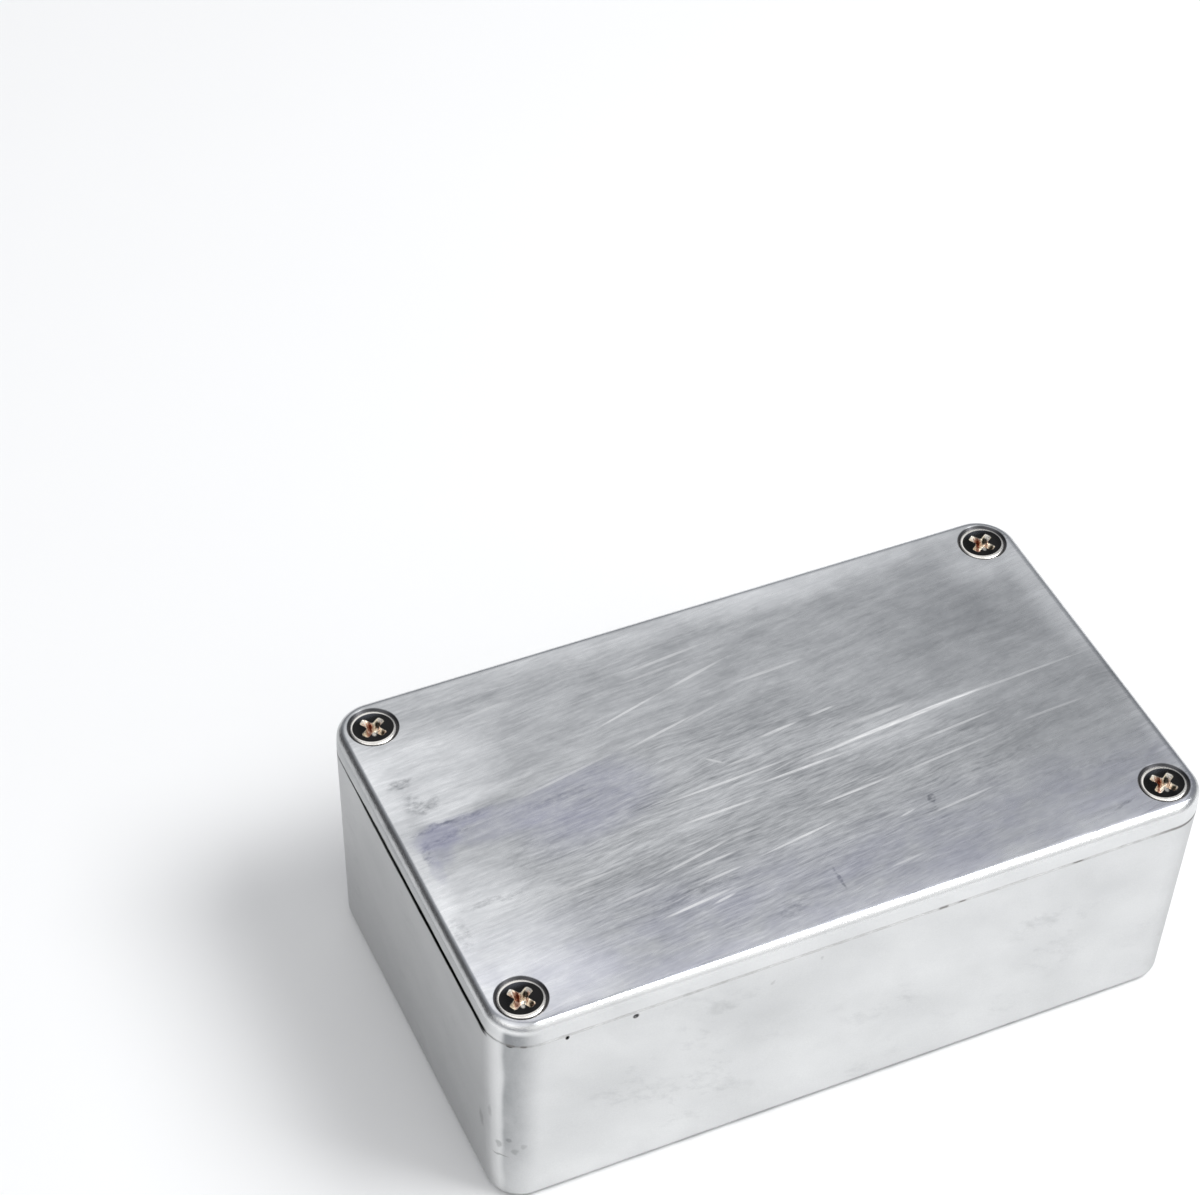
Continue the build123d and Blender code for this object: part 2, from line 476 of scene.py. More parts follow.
# Dark pits and blemishes: middle, size, strength
baseMarks = [
    ((-47.2, -33.4, 36.45), (0.42, 0.6, 0.62), 1.0),
    ((-36.7, -33.4, 36.05), (0.62, 0.7, 0.62), 1.0),
    ((-55.3, -31.95, 36.75), (0.7, 0.6, 0.35), 1.0),
    ((-7.4, -33.4, 34.7), (0.4, 0.8, 0.5), 0.16),
    ((-15.0, -33.4, 32.8), (0.4, 0.8, 0.6), 0.16),
    ((-57.0, -26.0, 14.2), (0.8, 1.0, 2.6), 0.22),
    ((-56.9, -28.8, 19.0), (0.8, 0.7, 1.8), 0.18),
    ((-56.0, -30.2, 12.6), (0.9, 0.9, 0.9), 0.30),
    ((-55.9, -30.4, 9.9), (1.6, 1.8, 0.25), 0.40),
    ((-55.0, -31.4, 14.2), (0.7, 0.9, 0.6), 0.28),
    ((-54.2, -32.0, 11.6), (0.8, 0.9, 1.0), 0.22),
    ((-53.2, -32.6, 13.0), (0.7, 0.8, 0.8), 0.18),
]


def castMaterial():
    material, tree = newMaterial("castAluminium")
    place = objectMillimetres(tree)
    parts = splitUp(tree, place)
    tone, height = castSkin(tree, place)
    bent = waver(tree, place, 1.6, 1.2)

    # Inside the walls, where the faces point inwards or up, the metal is painted darker and made rougher
    facing = splitUp(tree, addNode(tree, "ShaderNodeTexCoord").outputs["Normal"])
    upright = facing["Z"]
    inwards = addUp(tree, times(tree, facing["X"], parts["X"]), times(tree, facing["Y"], parts["Y"]))
    onWalls = remap(tree, inwards, *baseLook["facingIn"])
    onFloor = times(
        tree, remap(tree, upright, *baseLook["facingUp"]), remap(tree, parts["Z"], *baseLook["belowRim"]),
    )
    inside = times(tree, calc(tree, "MAXIMUM", onWalls, onFloor), baseLook["inside"])
    tone = calc(tree, "ADD", tone, inside, clamp=True)
    color = blend(tree, tone, cast["light"], cast["dark"])
    for middle, size, strength in baseMarks:
        space = bent if strength < 1 else place
        mark = remap(tree, spot(tree, space, middle, size), 0.0, 0.6, 0.0, strength, smooth=True)
        color = blend(tree, mark, color, baseLook["grimeAndShade"])
    color = blend(tree, seamGrime(tree, place), color, seam["grimeAndShade"])
    # Painted shade: the slit's floor and a band along the slit are painted dark
    alongSlit = calc(tree, "ABSOLUTE", addUp(tree, parts["Y"], -slit["middle"]))
    paintedSlitShade = times(
        tree,
        remap(tree, parts["X"], *slit["baseDepth"], smooth=True),
        remap(tree, parts["Z"], *slit["baseHeight"]),
        remap(tree, alongSlit, *slit["halfLength"]),
        remap(tree, upright, *slit["facingUp"]),
    )
    paintedSlitShade = calc(tree, "MAXIMUM", paintedSlitShade, slitShade(tree, place))
    color = blend(tree, paintedSlitShade, color, baseLook["grimeAndShade"])
    roughness = addUp(
        tree,
        remap(tree, tone, *cast["roughTones"], *cast["roughness"]),
        times(tree, inside, baseLook["insideRoughness"]),
    )
    edge = {"Specular Tint": cast["edgeTint"]}
    return finishMetal(tree, material, color, roughness, height, cast["bump"], **edge)


nodes["base"].data.materials.clear()
nodes["base"].data.materials.append(castMaterial())
print("base finished")


# Lid: the same metal, brushed along its length on top

lidLook = {
    "light": (0.93, 0.945, 0.96, 1),
    "dark": (0.13, 0.14, 0.155, 1),
    "lavender": (0.435, 0.44, 0.60, 1),
    "glint": (1.0, 1.0, 1.0, 1),
    "grimeAndShade": (0.05, 0.05, 0.055, 1),
    "tone": 0.57,
    "longStrokes": 0.17,
    "longSize": (7, 0.42, 3),
    "shortStrokes": 0.14,
    "shortSize": (2.6, 0.32, 3),
    "wideStrokes": 0.10,
    "wideSize": (9, 1.6, 6),
    "clouds": 0.11,
    "cloudSize": (10, 6, 8),
    "flecks": 0.045,
    "fleckSize": (1.3, 0.7, 3),
    "nicks": 0.42,
    "nickSize": (6.5, 0.24, 3),
    "scratchLength": 0.64,
    "scratchGlint": 0.9,
    "stainTone": 0.15,
    "stainTint": 0.44,
    "stainEdge": (6.4, 7.3),
    "stainSlope": 0.17,
    "stainFarEdge": (12.0, 13.6),
    "frontTint": (0.12, 0.62),
    "frontReach": (-12.0, -26.0),
    "topEdge": (40.55, 40.95),
    "flatEdge": (40.90, 40.99),
    "roundEdge": (39.3, 39.8),
    "sinkEdge": (3.84, 3.96),
    "sinkShade": 0.93,
    "anisotropy": 0.45,
    "roughness": (0.24, 0.36),
    "sinkRoughness": 0.15,
    "sideRoughness": 0.08,
    "scratchRoughness": 0.12,
    "polish": -0.14,
    "strokeRelief": 0.7,
    "sideRelief": 0.4,
    "bump": {"strength": 0.6, "depth": 0.00005},
}
# Where the lid is scrubbed, smoother and handled: middle, size
lidZones = {
    "scrubbed": ((-4, -13, 41), (50, 27, 90)),
    "smoother": ((40, 13, 41), (15, 11, 90)),
    "handled": ((-6, -9, 41), (46, 26, 90)),
}
# Scratches, their brightness a painted glint: from x and y, to x and y, width, strength
scratches = [
    (-17.8, -3.0, 2.2, -2.0, 0.61, 0.66),
    (-3.7, -4.8, 11.5, -4.1, 0.61, 0.78),
    (-18.3, -7.7, -5.0, -7.2, 0.65, 0.78),
    (0.2, 3.5, 7.2, 4.3, 0.73, 0.62),
    (9.0, 4.6, 13.8, 5.1, 0.65, 0.55),
    (9.0, -2.6, 36.0, -0.2, 0.97, 1.00),
    (26.0, -0.9, 54.0, 0.5, 0.57, 0.35),
    (13.0, 0.7, 24.6, 1.4, 0.97, 0.43),
    (4.0, -3.0, 13.0, -2.5, 0.61, 0.47),
    (12.0, -3.9, 24.0, -3.0, 0.73, 0.31),
    (20.7, -6.4, 36.0, -5.0, 0.61, 0.47),
    (2.2, -12.0, 15.9, -10.9, 0.61, 0.66),
    (15.0, -11.2, 33.0, -9.4, 0.57, 0.43),
    (-9.0, -17.4, 3.7, -15.6, 0.57, 0.70),
    (-24.6, -15.2, -12.2, -12.7, 0.61, 0.58),
    (-20.0, -16.0, -12.4, -15.2, 0.58, 0.58),
    (-19.8, -18.8, -12.9, -18.1, 0.58, 0.62),
    (-27.6, -22.7, -15.9, -21.3, 0.69, 0.74),
    (-19.8, -23.0, -16.1, -22.3, 0.61, 0.66),
    (12.4, -18.7, 15.4, -18.0, 0.45, 0.50),
    (16.8, -19.8, 28.5, -18.6, 0.58, 0.47),
    (6.6, -26.7, 12.4, -26.1, 0.58, 0.39),
    (-9.0, 2.9, -6.6, 0.9, 0.61, 0.47),
    (-6.8, 0.3, -0.2, 0.7, 0.61, 0.47),
    (-21.2, 14.6, -9.5, 17.6, 0.57, 0.58),
    (-8.5, 17.8, 2.3, 20.4, 0.73, 0.47),
    (-18.8, 9.0, -6.8, 11.5, 0.61, 0.55),
    (-9.0, 10.6, -2.0, 12.2, 0.61, 0.31),
    (1.5, 15.2, 14.0, 15.8, 0.73, 0.39),
    (-12.0, 23.4, 0.5, 24.6, 0.73, 0.43),
    (-14.0, 21.6, -2.0, 22.6, 0.61, 0.31),
    (-40.0, 24.0, -32.0, 25.0, 0.73, 0.31),
    (-40.0, -12.6, -29.0, -11.6, 0.61, 0.35),
    (-33.0, -17.6, -24.0, -16.6, 0.61, 0.39),
    (-37.0, 6.3, -21.0, 9.2, 0.61, 0.35),
    (38.0, -8.6, 49.0, -8.0, 0.61, 0.31),
]
# Broad patches, darker above 0 and lighter below: middle, half length, half width, turn, amount.
# Some are tone in the brushing; the lighter left end and edges and the darker right end are painted light
# and shade.
lidTonesAndPaintedShading = [
    (40.0, 13.5, 19.0, 12.0, -12, 0.085),
    (44.0, -9.0, 14.0, 12.0, 0, 0.03),
    (-8.0, -13.0, 26.0, 6.0, 4, 0.05),
    (-26.0, -17.0, 14.0, 9.0, 6, 0.05),
    (3.0, 7.0, 16.0, 7.0, 4, 0.05),
    (-50.0, 17.0, 19.0, 13.0, 0, -0.26),
    (-53.0, -16.0, 18.0, 18.0, 0, -0.30),
    (-48.0, -27.0, 16.0, 9.0, 0, -0.22),
    (-57.0, 0.0, 5.0, 40.0, 0, -0.18),
    (21.0, -2.0, 20.0, 4.5, 4, -0.16),
    (-12.0, -5.0, 14.0, 3.0, 3, -0.06),
    (56.8, 14.0, 6.0, 22.0, 0, -0.26),
    (56.5, -20.0, 3.0, 18.0, 0, -0.12),
    (0.0, 32.5, 80.0, 6.5, 0, -0.16),
    (25.0, 31.5, 34.0, 6.0, 0, -0.16),
    (0.0, -32.5, 80.0, 4.5, 0, -0.16),
    (50.0, 25.0, 10.0, 9.0, 0, -0.22),
    (42.0, -29.0, 14.0, 5.0, 0, -0.12),
    (-49.0, 7.8, 6.0, 2.6, 0, -0.16),
    (-42.0, 9.0, 7.0, 2.0, 6, -0.12),
    (-43.0, -28.0, 9.0, 5.0, 0, -0.14),
    (32.0, -5.0, 10.0, 5.0, 4, 0.05),
]
# Small dark marks, broken up by flecks: middle, half length, half width, turn, amount
lidMarks = [
    (-52.6, 15.4, 2.6, 1.2, 10, 0.28),
    (-52.0, 10.8, 2.2, 3.0, 15, 0.27),
    (-49.4, 10.2, 2.0, 1.4, 30, 0.22),
    (-48.5, -10.2, 6.5, 0.9, 0, 0.22),
    (-55.0, -14.0, 1.4, 4.5, 0, 0.18),
    (-40.0, -5.0, 6.0, 4.0, 20, 0.06),
    (43.8, -29.3, 2.6, 0.35, 10, 0.22),
    (-1.1, -25.6, 0.4, 2.6, 0, 0.28),
    (-9.6, -28.0, 3.4, 1.8, 20, 0.18),
    (18.3, -17.2, 0.7, 1.1, 0, 0.26),
    (17.6, -19.0, 1.2, 0.7, 0, 0.20),
    (-21.0, -20.0, 12.0, 1.2, 5, 0.10),
    (44.0, -21.0, 9.0, 1.8, -6, 0.07),
    (30.0, -14.0, 12.0, 1.2, 3, 0.07),
    (-33.0, 4.0, 9.0, 0.9, 5, 0.12),
    (-51.6, 5.7, 4.2, 0.7, 6, 0.26),
    (-49.2, 3.6, 4.2, 0.6, 8, 0.20),
    (-53.8, 1.2, 1.0, 3.2, -12, 0.22),
    (-46.5, 6.0, 5.0, 0.6, 4, 0.20),
]
# Bluish stain at the left and towards the middle: middle, half length, half width, turn, amount
stainLeft = [
    (-51.4, 3.8, 4.6, 3.2, 0, 0.85),
    (-52.4, 1.6, 3.0, 4.2, 0, 0.50),
    (-53.6, -2.0, 1.6, 4.0, 0, 0.40),
    (-48.0, 5.6, 8.0, 1.8, 0, 0.40),
    (-43.0, 3.4, 10.0, 4.8, 0, 0.50),
]
stainMiddle = [
    (-28.0, 2.8, 14.0, 9.5, 0, 0.60),
    (-34.0, -2.0, 9.0, 7.0, 0, 0.25),
]


# Brush marks along the lid: long and fine, short and fine, and wide
def brushStrokes(tree, place):
    bent = waver(tree, place, 11.0, 1.6)
    long = grain(tree, bent, lidLook["longSize"], 4.0, detail=3.0, roughness=0.62)
    short = grain(tree, bent, lidLook["shortSize"], 9.0, detail=2.0, roughness=0.6)
    wide = grain(tree, bent, lidLook["wideSize"], 6.0, detail=4.0, roughness=0.62)
    return long, short, wide


# A soft oval on the lid, drawn out in depth so that only its outline shows
def flatSpot(tree, space, x, y, length, width, turn, full, amount):
    shade = spot(tree, space, (x, y, 41), (length, width, 60), turn)
    return remap(tree, shade, 0.0, full, 0.0, amount, smooth=True)


def flatSpots(tree, space, spots, full=0.7):
    return addEach(tree, (
        flatSpot(tree, space, x, y, length, width, turn, full, amount)
        for x, y, length, width, turn, amount in spots
    ))


def scratchLine(tree, place, fromX, fromY, toX, toY, width, strength):
    run = Vector((toX - fromX, toY - fromY))
    x, y = (fromX + toX) / 2, (fromY + toY) / 2
    turn = degrees(atan2(run.y, run.x))
    length = run.length * lidLook["scratchLength"]
    return flatSpot(tree, place, x, y, length, width / 2, turn, 0.6, strength)


def scratchLines(tree, place):
    lines = (scratchLine(tree, place, *scratch) for scratch in scratches)
    return calc(tree, "MINIMUM", addEach(tree, lines), 1.0)


# Bluish stain, sharp along its upper edge
def stainShade(tree, bent, alongX, streaks):
    acrossY = splitUp(tree, bent)["Y"]
    leftEdge = remap(tree, acrossY, *lidLook["stainEdge"], 1.0, 0.0, smooth=True)
    slope = calc(tree, "SUBTRACT", acrossY, calc(tree, "MULTIPLY", alongX, lidLook["stainSlope"]))
    rightEdge = remap(tree, slope, *lidLook["stainFarEdge"], 1.0, 0.0, smooth=True)
    stain = addUp(
        tree,
        times(tree, flatSpots(tree, bent, stainLeft, 0.6), leftEdge),
        times(tree, flatSpots(tree, bent, stainMiddle, 0.6), rightEdge),
    )
    return times(tree, stain, remap(tree, streaks, -1.0, 1.0, 0.55, 1.2))


def brushedMaterial():
    material, tree = newMaterial("brushedAluminium")
    place = objectMillimetres(tree)
    parts = splitUp(tree, place)
    onTop = remap(tree, parts["Z"], *lidLook["topEdge"], smooth=True)
    flatTop = remap(tree, parts["Z"], *lidLook["flatEdge"])
    onSide = calc(tree, "SUBTRACT", 1.0, onTop)
    long, short, wide = brushStrokes(tree, place)
    clouds = grain(tree, waver(tree, place, 8.0, 5.0), lidLook["cloudSize"], detail=5.0, roughness=0.62)
    flecks = waver(tree, place, 2.0, 0.8)
    flecks = grain(tree, flecks, lidLook["fleckSize"], 10.0, detail=4.0, roughness=0.65)
    fleckMask = remap(tree, flecks, -0.35, 0.45, 0.15, 1.1)

    # The strokes show most in the middle and towards the front
    scrubbed = spot(tree, place, *lidZones["scrubbed"])
    scrubbed = remap(tree, scrubbed, 0.0, 0.5, 0.40, 1.0, smooth=True)
    smoother = spot(tree, place, *lidZones["smoother"])
    smoother = remap(tree, smoother, 0.0, 0.5, 1.0, 0.45, smooth=True)
    scrubbed = times(tree, scrubbed, smoother, flatTop)
    strokes = addUp(
        tree, times(tree, long, lidLook["longStrokes"]), times(tree, short, lidLook["shortStrokes"]),
    )
    tone = addUp(
        tree,
        lidLook["tone"],
        times(tree, strokes, scrubbed),
        times(tree, wide, flatTop, lidLook["wideStrokes"]),
        times(tree, clouds, lidLook["clouds"]),
        times(tree, flecks, lidLook["flecks"]),
    )
    bent = waver(tree, place, 3.0, 1.6)
    marks = times(tree, flatSpots(tree, bent, lidMarks, 0.5), fleckMask)
    # Broad tones, with painted light at the left end and edges and painted shade at the right end
    tone = addUp(tree, tone, flatSpots(tree, bent, lidTonesAndPaintedShading), marks)
    stain = stainShade(tree, bent, parts["X"], addUp(tree, wide, flecks))
    tone = addUp(tree, tone, times(tree, stain, lidLook["stainTone"]))
    frontTint = times(
        tree,
        remap(tree, parts["Y"], *lidLook["frontReach"], smooth=True),
        remap(tree, clouds, -0.5, 0.4, *lidLook["frontTint"]),
    )
    castTone, castHeight = castSkin(tree, place)
    tone = calc(tree, "ADD", times(tree, tone, onTop), times(tree, castTone, onSide), clamp=True)
    topColor = blend(tree, tone, lidLook["light"], lidLook["dark"])
    color = blend(tree, onTop, blend(tree, tone, cast["light"], cast["dark"]), topColor)
    tint = calc(tree, "MINIMUM", addUp(tree, stain, frontTint), 1.0)
    color = blend(tree, times(tree, tint, onTop, lidLook["stainTint"]), color, lidLook["lavender"])

    # Named scratches, and finer nicks among them where the lid is most handled; their brightness is a
    # painted glint
    broken = remap(tree, addUp(tree, long, short), -0.9, 0.4, 0.45, 1.0)
    nicks = grain(tree, waver(tree, place, 14.0, 2.0), lidLook["nickSize"], 7.0, detail=2.0)
    nicks = remap(tree, nicks, 0.28, 0.72)
    handled = remap(tree, spot(tree, place, *lidZones["handled"], 4.0), 0.0, 0.6, smooth=True)
    nicks = times(tree, nicks, handled, remap(tree, clouds, -0.5, 0.4, 0.2, 1.0), lidLook["nicks"])
    scratched = calc(tree, "MAXIMUM", scratchLines(tree, place), nicks)
    scratched = times(tree, scratched, broken, flatTop)
    # The scratches and nicks get a painted glint
    color = blend(tree, times(tree, scratched, lidLook["scratchGlint"]), color, lidLook["glint"])

    # Painted shade in the countersinks, grime in the seam, and painted shade along the slit
    screwX, screwY = screwPlace()
    outX = calc(tree, "SUBTRACT", calc(tree, "ABSOLUTE", parts["X"]), screwX)
    outY = calc(tree, "SUBTRACT", calc(tree, "ABSOLUTE", parts["Y"]), screwY)
    fromScrew = lengthOf(tree, joinUp(tree, outX, outY))
    paintedSinkShade = remap(tree, fromScrew, *lidLook["sinkEdge"], lidLook["sinkShade"], 0.0)
    color = blend(tree, paintedSinkShade, color, lidLook["grimeAndShade"])
    color = blend(tree, seamGrime(tree, place), color, seam["grimeAndShade"])
    # Painted shade: the lid's lip behind the slit and a band along the slit are painted dark
    paintedSlitShade = times(
        tree,
        remap(tree, parts["X"], *slit["lidDepth"]),
        remap(tree, parts["Z"], *slit["lidLow"]),
        remap(tree, parts["Z"], *slit["lidHigh"], 1.0, 0.0),
        slit["lidShade"],
    )
    paintedSlitShade = calc(tree, "MAXIMUM", paintedSlitShade, slitShade(tree, place))
    color = blend(tree, paintedSlitShade, color, baseLook["grimeAndShade"])

    # The rounded edge is polished, and the sides and scratches are duller
    offFlat = calc(tree, "SUBTRACT", 1.0, flatTop)
    onRound = times(tree, remap(tree, parts["Z"], *lidLook["roundEdge"]), offFlat)
    roughness = addUp(
        tree,
        remap(tree, times(tree, long, flatTop), -0.6, 0.6, *lidLook["roughness"]),
        times(tree, paintedSinkShade, lidLook["sinkRoughness"]),
        times(tree, onSide, lidLook["sideRoughness"]),
        times(tree, scratched, lidLook["scratchRoughness"]),
        times(tree, onRound, lidLook["polish"]),
    )
    relief = times(tree, strokes, scrubbed, lidLook["strokeRelief"])
    height = addUp(tree, times(tree, relief, onTop), times(tree, castHeight, onSide, lidLook["sideRelief"]))
    brushed = {"Anisotropic": lidLook["anisotropy"], "Tangent": joinUp(tree, 0.0, 1.0)}
    return finishMetal(tree, material, color, roughness, height, lidLook["bump"], **brushed)


def screwPlace():
    lowest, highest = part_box("screw_back_right")
    return (lowest.x + highest.x) / 2 / mm, (lowest.y + highest.y) / 2 / mm


nodes["lid"].data.materials.clear()
nodes["lid"].data.materials.append(brushedMaterial())
print("lid finished")


# Screws: M3.5 countersunk crossheads, dark plated, with worn rims, in millimetres

screwShape = {
    "length": 12.0,
    "threadRadius": 1.74,
    "pitch": 0.6,
    "threadDepth": 0.34,
    "crestWidth": 0.1,
    "threadSteps": 28,
    "headRadius": 3.5,
    "flatRadius": 3.05,
    "rimHeight": 0.28,
    "rimSegments": 6,
    "neckRadius": 1.6,
    "headSteps": 64,
    "recessSpan": 4.3,
    "recessWing": 1.15,
    "recessDepth": 1.9,
    "endTaper": 26.5,
    "sideTaper": 6.0,
    "recessTurn": 33.0,
    "armRounding": 0.30,
    "innerRounding": 0.35,
    "recessEdge": 0.10,
}
screwLook = {
    "plate": (0.020, 0.020, 0.020, 1),
    "sheen": (0.085, 0.090, 0.105, 1),
    "rim": (0.93, 0.90, 0.85, 1),
    "wall": (0.97, 0.92, 0.83, 1),
    "copper": (0.33, 0.13, 0.075, 1),
    "hollow": (0.05, 0.048, 0.040, 1),
    "thread": (0.30, 0.28, 0.25, 1),
    "crest": (0.62, 0.60, 0.56, 1),
    "crestEdge": (1.5, 1.7),
    "discRadius": 3.10,
    "discEdge": 0.05,
    "discOval": (0.98, 1.08, 0),
    "farSide": (1.6, 2.9),
    "farSheen": 0.8,
    "shankTop": (2.2, 2.0),
    "recessTop": (0.08, 0.01),
    "recessReach": (2.5, 2.7),
    "platingSize": (0.15, 0.15, 0.15),
    "roughness": (0.22, 0.34),
    "bump": {"strength": 0.15, "depth": 0.00002},
}
# Places on the head: x and y from its middle, depth under its top, size
wornSpot = (-0.35, -1.25, 0.0, (0.45, 0.7, 0.9))
copperSpot = (-0.60, 0.55, 0.8, (1.25, 1.15, 1.8))
darkArmSpots = [
    (1.15, 1.0, 0.9, (0.6, 0.55, 1.1)),
    (1.25, -0.95, 0.9, (0.6, 0.55, 1.1)),
]


def addThread(shape, top, tip):
    s = screwShape
    pitch, outer = s["pitch"], s["threadRadius"]
    inner = outer - s["threadDepth"]
    low = tip - pitch
    middle, crest = pitch / 2, s["crestWidth"] / 2
    rows = [(inner, 0), (outer, middle - crest), (outer, middle + crest), (inner, pitch)]
    points = [shape.verts.new((radius, 0, low + z)) for radius, z in rows]
    edges = [shape.edges.new(pair) for pair in zip(points, points[1:])]
    turns = int((top - low) / pitch) + 2
    steps = s["threadSteps"]
    bmesh.ops.spin(
        shape, geom=points + edges, cent=(0, 0, 0), axis=(0, 0, 1), dvec=(0, 0, pitch / steps),
        angle=2 * pi * turns, steps=steps * turns, use_merge=False, use_duplicate=False,
    )
    bmesh.ops.remove_doubles(shape, verts=shape.verts, dist=0.005)
    for height, side in ((top, 1), (tip, -1)):
        everything = shape.verts[:] + shape.edges[:] + shape.faces[:]
        cut = bmesh.ops.bisect_plane(
            shape, geom=everything, plane_co=(0, 0, height), plane_no=(0, 0, side), clear_outer=True,
        )
        loop = [g for g in cut["geom_cut"] if isinstance(g, bmesh.types.BMEdge)]
        bmesh.ops.edgeloop_fill(shape, edges=loop)


def addHead(shape, top):
    s = screwShape
    flat, rim = s["flatRadius"], s["headRadius"]
    edge = top - s["rimHeight"]
    neck = edge - (rim - s["neckRadius"])
    corners = [pi / 2 * i / s["rimSegments"] for i in range(s["rimSegments"] + 1)]
    rows = [(flat + (rim - flat) * sin(a), edge + s["rimHeight"] * cos(a)) for a in corners]
    rows += [(s["neckRadius"], neck), (0, neck)]
    points = [shape.verts.new((radius, 0, z)) for radius, z in rows]
    edges = [shape.edges.new(pair) for pair in zip(points, points[1:])]
    bmesh.ops.spin(
        shape, geom=points + edges, cent=(0, 0, 0), axis=(0, 0, 1), dvec=(0, 0, 0),
        angle=2 * pi, steps=s["headSteps"], use_merge=True, use_duplicate=False,
    )
    bmesh.ops.remove_doubles(shape, verts=shape.verts, dist=0.001)


def addRecess(shape, top):
    s = screwShape
    half, wing = s["recessSpan"] / 2, s["recessWing"] / 2
    made = bmesh.ops.create_grid(shape, x_segments=3, y_segments=3, size=half)["verts"]
    for vert in made:
        for axis in (0, 1):
            if abs(vert.co[axis]) < half * 0.9:
                vert.co[axis] = copysign(wing, vert.co[axis])
        vert.co.z = top
    tiles = {face for vert in made for face in vert.link_faces}
    cornerTiles = [face for face in tiles if min(abs(c) for c in face.calc_center_median().xy) > wing]
    bmesh.ops.delete(shape, geom=cornerTiles, context="FACES")
    kept = [face for face in tiles if face.is_valid]
    cross = bmesh.ops.dissolve_faces(shape, faces=kept, use_verts=False)["region"][0]
    arms = [v for v in cross.verts if max(abs(v.co.x), abs(v.co.y)) > half * 0.9]
    inner = [v for v in cross.verts if v not in arms]
    for verts, size, segments in ((arms, s["armRounding"], 4), (inner, s["innerRounding"], 3)):
        bmesh.ops.bevel(
            shape, geom=verts, offset=size, offset_type="OFFSET", affect="VERTICES",
            segments=segments, profile=0.5, material=-1,
        )
    onFace = [f for f in shape.faces if abs(f.calc_center_median().z - top) < 0.001]
    cross = max(onFace, key=lambda face: len(face.verts))
    outline = list(cross.edges)
    deep = bmesh.ops.extrude_face_region(shape, geom=[cross])["geom"]
    deep = [g for g in deep if isinstance(g, bmesh.types.BMVert)]
    bmesh.ops.delete(shape, geom=[cross], context="FACES_ONLY")
    depth = s["recessDepth"]
    endDraw = depth * tan(radians(s["endTaper"]))
    sideDraw = depth * tan(radians(s["sideTaper"]))
    for vert in deep:
        for axis in (0, 1):
            reach = abs(vert.co[axis])
            draw = sideDraw + (endDraw - sideDraw) * max(0, reach - wing) / (half - wing)
            vert.co[axis] *= max(0.0, reach - draw) / reach if reach > 0 else 0
        vert.co.z -= depth
    turned = {vert for edge in outline for vert in edge.verts} | set(deep)
    turn = Matrix.Rotation(radians(s["recessTurn"]), 3, "Z")
    bmesh.ops.rotate(shape, verts=list(turned), cent=(0, 0, 0), matrix=turn)
    return outline


# Fills the flat of the head round the recess, and breaks the recess's edge
def plateFace(shape, top, outline):
    flat = screwShape["flatRadius"]
    onCircle = {
        vert for vert in shape.verts
        if abs(vert.co.z - top) < 0.001 and abs(vert.co.xy.length - flat) < 0.001
    }
    circle = [edge for edge in shape.edges if edge.is_boundary and onCircle.issuperset(edge.verts)]
    bmesh.ops.triangle_fill(shape, edges=circle + outline, use_beauty=True)
    bmesh.ops.bevel(
        shape, geom=outline, offset=screwShape["recessEdge"], offset_type="OFFSET", affect="EDGES",
        segments=2, profile=0.5, material=-1,
    )


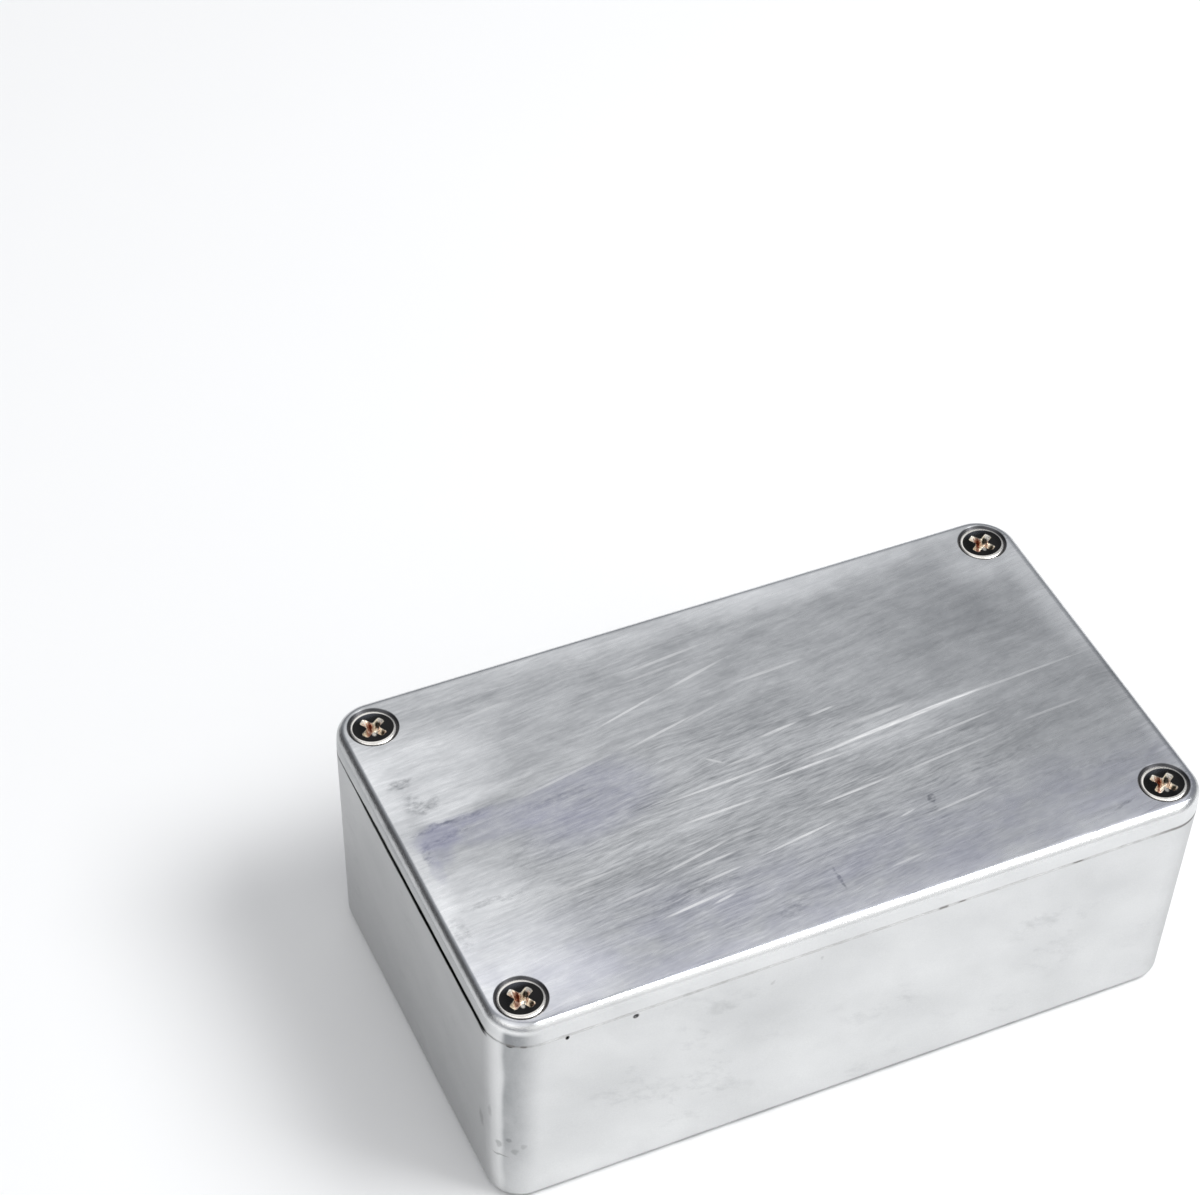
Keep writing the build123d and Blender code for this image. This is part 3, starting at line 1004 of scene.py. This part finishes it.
def screwMaterial():
    material, tree = newMaterial("darkPlatedSteel")
    place = objectMillimetres(tree)
    parts = splitUp(tree, place)
    axisX, axisY = screwPlace()
    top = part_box("screw_back_right")[1].z / mm
    offX = calc(tree, "SUBTRACT", parts["X"], calc(tree, "MULTIPLY", calc(tree, "SIGN", parts["X"]), axisX))
    offY = calc(tree, "SUBTRACT", parts["Y"], calc(tree, "MULTIPLY", calc(tree, "SIGN", parts["Y"]), axisY))
    local = joinUp(tree, offX, offY, parts["Z"])
    flatLocal = joinUp(tree, offX, offY)
    radius = lengthOf(tree, flatLocal)
    plating = grain(tree, local, screwLook["platingSize"])
    bent = waver(tree, local, 0.7, 0.35)
    inputs = {0: flatLocal, 1: screwLook["discOval"]}
    oval = addNode(tree, "ShaderNodeVectorMath", inputs, operation="MULTIPLY").outputs[0]
    discRadius, discEdge = screwLook["discRadius"], screwLook["discEdge"]
    discPlace = lengthOf(tree, oval)
    onRim = remap(tree, discPlace, discRadius - discEdge, discRadius + discEdge, smooth=True)
    onShank = remap(tree, parts["Z"], *[top - drop for drop in screwLook["shankTop"]], 1.0, 0.0)
    # The far side of the dark head gets a painted sheen
    farSide = times(tree, remap(tree, offY, *screwLook["farSide"], smooth=True), screwLook["farSheen"])
    color = blend(tree, farSide, screwLook["plate"], screwLook["sheen"])
    color = blend(tree, onRim, color, screwLook["rim"])

    # The recess is worn to bright metal, with copper showing left of its middle, and darker in two of its
    # arms
    def headSpot(x, y, depth, size, fromMin, fromMax, toMax=1.0):
        shade = spot(tree, bent, (x, y, top - depth), size)
        return remap(tree, shade, fromMin, fromMax, 0.0, toMax)

    inRecess = times(
        tree,
        remap(tree, parts["Z"], *[top - drop for drop in screwLook["recessTop"]], 1.0, 0.0),
        remap(tree, radius, *screwLook["recessReach"], 1.0, 0.0),
    )
    worn = calc(tree, "MAXIMUM", inRecess, headSpot(*wornSpot, 0.1, 0.5, 0.8))
    color = blend(tree, worn, color, screwLook["wall"])
    copper = times(tree, headSpot(*copperSpot, 0.05, 0.45), inRecess)
    color = blend(tree, copper, color, screwLook["copper"])
    for darkArmSpot in darkArmSpots:
        armDarkening = times(tree, headSpot(*darkArmSpot, 0.1, 0.5), inRecess)
        color = blend(tree, armDarkening, color, screwLook["hollow"])
    onCrest = remap(tree, radius, *screwLook["crestEdge"], smooth=True)
    threaded = blend(tree, onCrest, screwLook["thread"], screwLook["crest"])
    color = blend(tree, onShank, color, threaded)
    roughness = remap(tree, plating, -0.6, 0.6, *screwLook["roughness"])
    return finishMetal(tree, material, color, roughness, plating, screwLook["bump"])


def makeScrew(node, material):
    lowest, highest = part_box(node)
    top = highest.z / mm
    tip = top - screwShape["length"]
    shape = bmesh.new()
    addThread(shape, top - 2.0, tip)
    head = bmesh.new()
    addHead(head, top)
    outline = addRecess(head, top)
    plateFace(head, top, outline)
    bmesh.ops.recalc_face_normals(head, faces=head.faces)
    bmesh.ops.recalc_face_normals(shape, faces=shape.faces)
    mesh = bpy.data.meshes.new("head")
    head.to_mesh(mesh)
    head.free()
    shape.from_mesh(mesh)
    bpy.data.meshes.remove(mesh)
    middle = ((lowest.x + highest.x) / 2, (lowest.y + highest.y) / 2, 0)
    bmesh.ops.scale(shape, vec=(mm,) * 3, verts=shape.verts)
    bmesh.ops.translate(shape, vec=middle, verts=shape.verts)
    mesh = bpy.data.meshes.new(node + "_made")
    shape.to_mesh(mesh)
    shape.free()
    mesh.shade_smooth()
    mesh.set_sharp_from_angle(angle=radians(32))
    screw = bpy.data.objects.new(node + "_made", mesh)
    bpy.context.scene.collection.objects.link(screw)
    mesh.materials.append(material)
    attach(screw, node)
    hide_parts(node)


screwFinish = screwMaterial()
for nodeName in sorted(name for name in nodes if name.startswith("screw_")):
    makeScrew(nodeName, screwFinish)
print("screws made")
